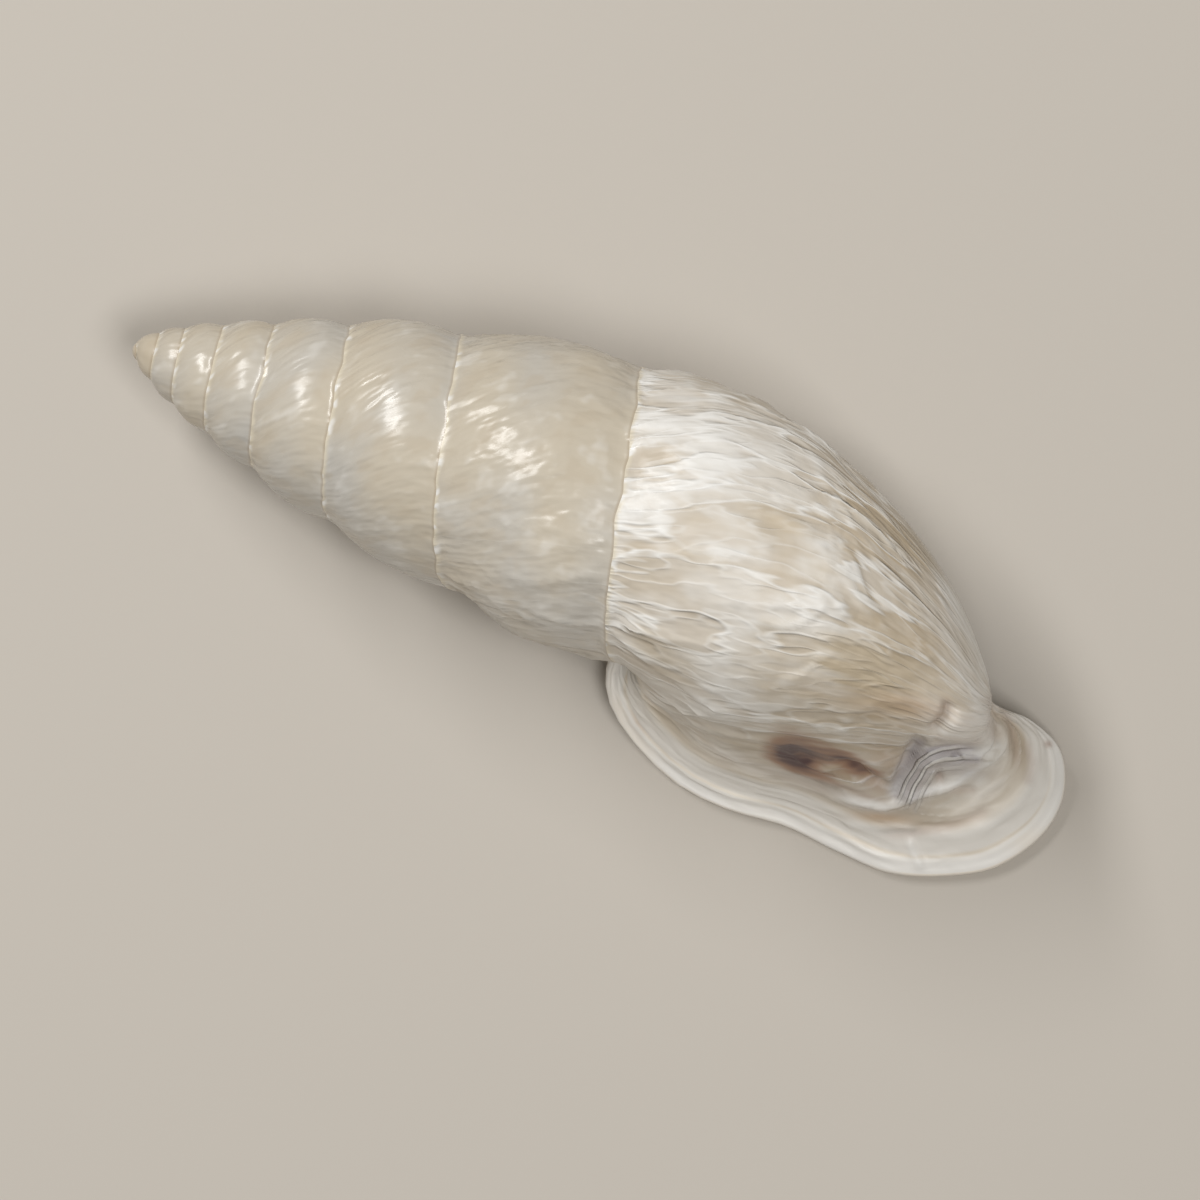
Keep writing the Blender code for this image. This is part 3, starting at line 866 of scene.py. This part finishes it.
class Paint:
    """A material under construction."""

    def __init__(self, name):
        self.material = bpy.data.materials.new(name)
        self.material.use_nodes = True
        self.tree = self.material.node_tree
        self.finish = self.tree.nodes["Principled BSDF"]

    def node(self, kind, settings, sockets, out=0):
        new = self.tree.nodes.new(kind)
        for name, value in settings.items():
            setattr(new, name, value)
        self.fill(new, sockets)
        return Wire(self, new.outputs[out])

    def fill(self, node, sockets):
        for name, value in sockets.items():
            if isinstance(value, Wire):
                self.tree.links.new(value.socket, node.inputs[name])
            else:
                node.inputs[name].default_value = value

    def math(self, operation, first, second):
        return self.node("ShaderNodeMath", {"operation": operation}, {0: first, 1: second})

    def rise(self, value, low, high):
        """0 below low, 1 above high, and smooth between."""
        return self.node("ShaderNodeMapRange", {"interpolation_type": "SMOOTHSTEP"},
                         {"Value": value, "From Min": low, "From Max": high})

    def noise(self, where, stretch, detail=2.0, rough=0.5):
        """Noise with this many waves to a unit, each way."""
        scaled = self.node(
            "ShaderNodeVectorMath", {"operation": "MULTIPLY"}, {0: where, 1: stretch})
        return self.node("ShaderNodeTexNoise", {}, {
            "Vector": scaled, "Scale": 1.0, "Detail": detail, "Roughness": rough})

    def mix(self, share, first, second):
        """The first colour, and this share of the second over it."""
        first, second = (c if isinstance(c, Wire) else (*c, 1.0) for c in (first, second))
        return self.node("ShaderNodeMix", {"data_type": "RGBA", "clamp_factor": True},
                         {0: share, 6: first, 7: second}, out=2)

    def between(self, value, low, high, fall, end):
        """0 below low, 1 from high to fall, and 0 again above end."""
        return self.rise(value, low, high) - self.rise(value, fall, end)

    def near(self, value, middle, reach):
        """1 where the value is at the middle, and 0 where it is further off than the reach."""
        off = self.math("ABSOLUTE", value - middle, 0.0)
        return 1.0 - self.rise(off, 0.0, reach)

    def uv(self, name):
        return self.node("ShaderNodeUVMap", {"uv_map": name}, {})

    def parts(self, vector):
        """The first two numbers of a vector."""
        split = self.node("ShaderNodeSeparateXYZ", {}, {"Vector": vector})
        return split, Wire(self, split.socket.node.outputs[1])

    def points(self, name):
        return self.node("ShaderNodeAttribute", {"attribute_name": name}, {}, out=2)


print("a Wire and a Paint are ready")

# %% [markdown]
# ## The shell's finish
#
# The spire is glossy, cream and a little blue-grey, as light passes into the thin wall. The last
# whorl is chalky white with tan streaks along the growth lines. On it the milky line on each
# growth-line crest is partly the ridge's pale colour and partly painted highlight, and the ochre
# and tan just under the crests and in the hollows are painted shade. An image texture would be
# quick, but it would fix one light and one side. The colours below are mixed by noise stretched
# along the growth rulers, so they follow the shell all the way round.

# %% Finish
paint = Paint("snail shell")
ruler = paint.uv("laid")
age, part_across = paint.parts(paint.uv("age"))
upper_seam, lower_seam = paint.parts(paint.uv("seams"))
terraces = paint.noise(ruler, (3.1, 0.55, 0.0), 3.0, 0.55)
lesser = paint.noise(ruler, (6.5, 1.2, 8.0), 2.0, 0.55)
fine = paint.noise(ruler, (16.0, 2.8, 0.0), 1.0, 0.6)
clouds = paint.noise(ruler, (1.1, 0.9, 3.0), 3.0, 0.6)
haze = paint.noise(ruler, (0.8, 1.3, 9.0), 1.0, 0.5)
pits = paint.noise(ruler, (5.0, 3.6, 5.0), 2.0, 0.55)
crinkles = paint.noise(ruler, (12.0, 4.5, 7.0), 1.0, 0.5)
old = paint.rise(age, 0.72, 0.78)
lower = paint.rise(part_across, 0.35, 0.70)
apart = 1.0 - paint.rise(part_across, 0.62, 0.90)

CREAM, BLUE_GREY, BEIGE = (0.57, 0.51, 0.41), (0.53, 0.51, 0.47), (0.50, 0.42, 0.31)
CHALK, TAN = (0.80, 0.78, 0.74), (0.60, 0.53, 0.43)
OCHRE, MILK = (0.47, 0.37, 0.24), (0.88, 0.87, 0.84)
relief = paint.points("relief")
# Where the relief stands out the colour is paler, a painted highlight, and in its troughs it is
# darker, painted shade.
crest, trough_shade = paint.rise(relief, 0.0, 0.14), paint.rise(relief, 0.0, -0.16)
spire = paint.mix(paint.rise(haze, 0.34, 0.70), CREAM, BLUE_GREY)
spire = paint.mix(paint.rise(pits, 0.50, 0.35) * 0.3, spire, BEIGE)
spire = paint.mix(paint.rise(pits, 0.55, 0.72) * 0.28, spire, MILK)
spire = paint.mix(paint.rise(age, 0.36, 0.02) * 0.4, spire, BEIGE)
# Each terrace line gets a milky line, partly the growth ridge's pale colour and partly painted
# highlight, and the ochre band just under it is painted shadow.
line, small_line = paint.near(terraces, 0.5, 0.03), paint.near(lesser, 0.5, 0.04)
below = paint.between(terraces, 0.49, 0.53, 0.54, 0.64)
last = paint.mix(paint.rise(clouds, 0.48, 0.62) * 0.75, CHALK, TAN)
last = paint.mix(below * apart * (0.30 + 0.50 * lower), last, OCHRE)
last = paint.mix(trough_shade * (0.25 + 0.35 * lower) * (0.3 + 0.7 * apart), last, OCHRE)
# Tan on the low side of the lesser steps and in the fine grooves is painted shade.
last = paint.mix(paint.rise(lesser, 0.50, 0.62) * (0.15 + 0.35 * lower), last, TAN)
last = paint.mix(paint.rise(fine, 0.52, 0.38) * 0.15, last, TAN)
last = paint.mix(crest * 0.5, last, MILK)
last = paint.mix(apart * (line * 0.6 + small_line * 0.3), last, MILK)
last_clouded = 0.85 - 0.5 * paint.rise(clouds, 0.40, 0.62)
last = paint.mix((1.0 - apart) * last_clouded, last, MILK)
wall = paint.mix(old, spire, last)
print("the colours of the wall use", len(paint.tree.nodes), "nodes")

# %% [markdown]
# The suture is a thin cream-yellow line with a darker hairline above it, and the lip turns from
# grey horn to cream at its thick rim. Both follow numbers that the sheets carry: millimetres
# from the suture and from the rim. A painted mask would do, but would blur at this size.

# %% Suture and lip colours
WAX, HAIRLINE, HORN = (0.72, 0.65, 0.51), (0.36, 0.27, 0.17), (0.86, 0.79, 0.68)
RIM_CREAM, PEARL = (0.86, 0.80, 0.71), (0.82, 0.80, 0.76)
seam_noise = paint.noise(ruler, (9.0, 8.0, 0.0), 1.0)
uneven = upper_seam - 0.06 * seam_noise
seam = paint.mix(paint.rise(seam_noise, 0.50, 0.62), WAX, MILK)
wall = paint.mix((1.0 - paint.rise(uneven, -0.03, 0.02)) * 0.85, wall, seam)
wall = paint.mix((1.0 - paint.rise(lower_seam, 0.004, 0.025)) * 0.4, wall, HAIRLINE)
to_rim_mm = paint.points("to_rim")
lip_noise = paint.noise(ruler, (7.0, 0.5, 1.0), 2.0, 0.6)
lip = paint.mix(paint.rise(lip_noise, 0.42, 0.58) * 0.8, HORN, RIM_CREAM)
# Beige just under the lip's growth-line steps and in its fine grooves is painted shade; cream on
# the relief's crests is painted highlight and beige in its troughs painted shade.
lip_step_shade = paint.rise(terraces, 0.50, 0.54) * 0.3 + paint.rise(fine, 0.5, 0.36) * 0.2
lip = paint.mix(lip_step_shade, lip, BEIGE)
lip = paint.mix(crest * 0.7, lip, RIM_CREAM)
lip = paint.mix(trough_shade * 0.6, lip, BEIGE)
rim_noise = to_rim_mm + 1.2 * lip_noise - 0.6
lip = paint.mix(paint.between(rim_noise, 1.2, 1.6, 3.0, 4.2) * 0.8, lip, PEARL)
rim = paint.mix(paint.rise(clouds, 0.4, 0.6), RIM_CREAM, PEARL)
lip = paint.mix(1.0 - paint.rise(to_rim_mm, 0.8, 1.1), lip, rim)
lip = paint.mix(paint.between(to_rim_mm, 0.8, 1.0, 1.1, 1.4) * 0.7, lip, MILK)
wall = paint.mix(1.0 - paint.rise(to_rim_mm, 4.0, 9.0), wall, lip)
print("with the suture and the lip,", len(paint.tree.nodes))

# %% [markdown]
# Last come the stains, broken up along the growth lines, with the painted shade in the fold's
# creases, and the inside of the mouth, which is smooth and milky with a warm shade deep inside.

# %% Stains and mouth colours
PURPLE, UMBER, AMBER = (0.10, 0.055, 0.055), (0.34, 0.20, 0.13), (0.54, 0.38, 0.24)
LILAC, WEATHERED = (0.44, 0.41, 0.43), (0.56, 0.47, 0.34)
streaks = paint.noise(ruler, (9.0, 1.2, 2.0), 2.0, 0.6)
wall = paint.mix(paint.points("tan") * (2.6 * streaks - 0.4), wall, WEATHERED)
wall = paint.mix(paint.points("amber") * (0.35 + streaks), wall, AMBER)
wall = paint.mix(paint.points("lilac") * (0.5 + 0.8 * streaks), wall, LILAC)
stained = paint.points("stain") * (2.6 * streaks - 0.45)
wall = paint.mix(paint.rise(stained, 0.12, 0.5) * 0.9, wall, UMBER)
wall = paint.mix(paint.rise(stained, 0.42, 0.9), wall, PURPLE)
# Umber from the fold's creases, the gutter's end and the wall's foot is painted shade; the two
# specks on the lip are marks of the shell.
wall = paint.mix(paint.points("umber_and_shade") * (0.5 + 0.7 * streaks), wall, UMBER)
wall = paint.mix(paint.points("pale") * 0.9, wall, MILK)
ridged = paint.points("ridged")
phase = paint.points("off_spine") * 8.2 + 5.0 * paint.noise(ruler, (5.0, 2.5, 9.0), 1.0)
ridge = paint.rise(paint.math("COSINE", phase, 0.0), -0.3, 0.9) * ridged
wall = paint.mix(ridged * 0.6, wall, LILAC)
wall = paint.mix(ridge * 0.8, wall, CHALK)
depth = paint.points("depth")
PORCELAIN, DEEP = (0.76, 0.71, 0.63), (0.50, 0.38, 0.30)
mouth = paint.mix(paint.rise(depth, 1.1, 1.6), PORCELAIN, DEEP)
colour = paint.mix(paint.rise(depth, 0.2, 0.9), wall, mouth)

gloss = paint.noise(ruler, (6.0, 2.0, 4.0), 1.0, 0.6)
rough = 0.14 + 0.22 * old + 0.24 * gloss
step = 0.05 * line + 0.12 * paint.rise(terraces, 0.60, 0.46)
step = step + 0.02 * small_line + 0.05 * paint.rise(lesser, 0.60, 0.46)
off_lip = 0.35 + 0.65 * paint.rise(to_rim_mm, 2.0, 8.0)
height = 0.22 * ridge + 0.14 * pits + 0.17 * crinkles
height = height + old * apart * (0.06 * fine + step * off_lip)
bump = paint.node("ShaderNodeBump", {}, {"Strength": 1.0, "Distance": MM, "Height": height})
paint.fill(paint.finish, {"Base Color": colour, "Roughness": rough, "Normal": bump,
                          "Specular IOR Level": 0.45, "Coat Weight": 0.1, "Coat Roughness": 0.12})
shell.data.materials.clear()
shell.data.materials.append(paint.material)
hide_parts("shell")
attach(shell, "root")
print("finish has", len(paint.tree.nodes), "nodes")

# %% [markdown]
# ## Table, light and camera
#
# The shell lies on a pale table. A long soft lamp stands above the apex side, a square one hangs
# overhead, and a pale world fills the shadows. A sun would draw hard shadows, and this shell's
# gloss wants lamps with a size. The camera looks straight down through a long lens, so nothing
# is foreshortened.

# %% Table
TABLE, TABLE_SIZE, TABLE_DROP = (0.54, 0.50, 0.445), 8.0, 0.00005
bpy.ops.mesh.primitive_plane_add(size=TABLE_SIZE, location=(0.0, 0.0, -TABLE_DROP))
table = bpy.context.object
table.name = "table"
table_paint = Paint("table")
table_paint.fill(table_paint.finish, {"Base Color": (*TABLE, 1.0), "Roughness": 0.7})
table.data.materials.append(table_paint.material)
print("the table is", TABLE_SIZE, "m wide")

# %% Light
VIEW_TURN = math.radians(18.0)
RIGHT = np.array([math.cos(VIEW_TURN), math.sin(VIEW_TURN), 0.0])
TOWARDS_TOP = np.array([-math.sin(VIEW_TURN), math.cos(VIEW_TURN), 0.0])
UP = np.array([0.0, 0.0, 1.0])
WORLD_COLOUR, WORLD_STRENGTH = (1.0, 0.92, 0.80, 1.0), 0.18


def soft_lamp(name, direction, distance, width, height, spin, power):
    """A soft lamp that faces the shell."""
    direction = np.array(direction) / np.linalg.norm(direction)
    bpy.ops.object.light_add(type="AREA", location=tuple(direction * distance))
    lamp = bpy.context.object
    lamp.name = name
    lamp.data.shape, lamp.data.energy = "RECTANGLE", power
    lamp.data.size, lamp.data.size_y = width, height
    lamp.rotation_euler = (-lamp.location).to_track_quat("-Z", "Y").to_euler()
    lamp.rotation_euler.rotate_axis("Z", spin)
    print(name, "at", [round(c, 2) for c in lamp.location])


soft_lamp("key lamp", -0.45 * RIGHT + 0.48 * TOWARDS_TOP + 0.75 * UP,
          distance=0.6, width=0.10, height=0.40, spin=math.radians(-45.0), power=2.2)
soft_lamp("top lamp", 0.20 * RIGHT - 0.18 * TOWARDS_TOP + 0.95 * UP,
          distance=0.9, width=0.35, height=0.35, spin=0.0, power=3.3)
world = bpy.data.worlds.new("pale room")
world.use_nodes = True
background = world.node_tree.nodes["Background"]
background.inputs["Color"].default_value = WORLD_COLOUR
background.inputs["Strength"].default_value = WORLD_STRENGTH
bpy.context.scene.world = world

# %% Camera
AWAY, FIELD = 1.8, 0.09  # metres: distance from the shell, and the width in view
AIM_X, AIM_Y, AIM_Z = 0.00075, -0.00265, 0.006
SENSOR = 36.0
bpy.ops.object.camera_add(location=(AIM_X, AIM_Y, AWAY + AIM_Z), rotation=(0.0, 0.0, VIEW_TURN))
camera = bpy.context.object
camera.name = "camera"
camera.data.sensor_width = SENSOR
camera.data.lens = SENSOR * AWAY / FIELD
camera.data.clip_end = 50.0
bpy.context.scene.camera = camera
bpy.context.scene.view_settings.view_transform = "Standard"
print("lens", round(camera.data.lens), "mm")
